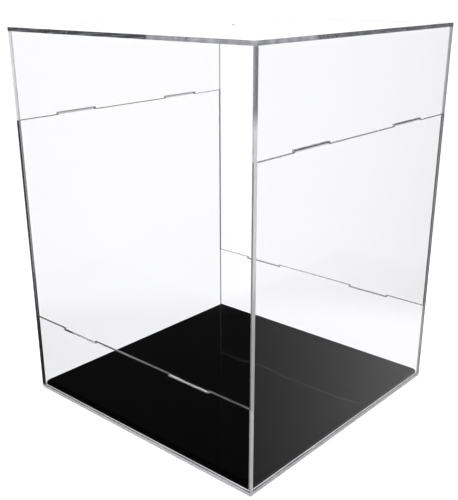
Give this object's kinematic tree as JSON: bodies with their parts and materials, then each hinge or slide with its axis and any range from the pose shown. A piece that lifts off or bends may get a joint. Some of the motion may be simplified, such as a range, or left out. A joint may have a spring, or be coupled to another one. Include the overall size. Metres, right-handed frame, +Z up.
{
  "type": "ball display case",
  "caption": "Clear upright box for showing a full-size ball: a tray and a lift-off cover that meet along a stepped seam, over a loose glossy black base plate.",
  "frame": {"origin": "centre of the footprint, on the surface the case stands on", "axes": "+Z up; -Y is the front, a side where the cover's wall is tall; +X is a side where the tray's wall is tall"},
  "size_m": [0.248, 0.248, 0.315],
  "materials": {
    "clear_sheet": "clear acrylic sheet, polished faces and bright edges",
    "black_plate": "high gloss black"
  },
  "bodies": {
    "tray": {"bottom_panel": "clear_sheet", "tray_left_wall": "clear_sheet", "tray_right_wall": "clear_sheet", "tray_front_wall": "clear_sheet", "tray_back_wall": "clear_sheet"},
    "cover": {"top_panel": "clear_sheet", "cover_front_wall": "clear_sheet", "cover_back_wall": "clear_sheet", "cover_left_wall": "clear_sheet", "cover_right_wall": "clear_sheet"},
    "insert": {"base_insert": "black_plate"}
  },
  "joints": [
    {"name": "cover_lift", "type": "slide", "parent": "tray", "child": "cover", "axis": [0, 0, 1], "range_m": [0, 0.2]},
    {"name": "insert_lift", "type": "slide", "parent": "tray", "child": "insert", "axis": [0, 0, 1], "range_m": [0, 0.245]}
  ]
}
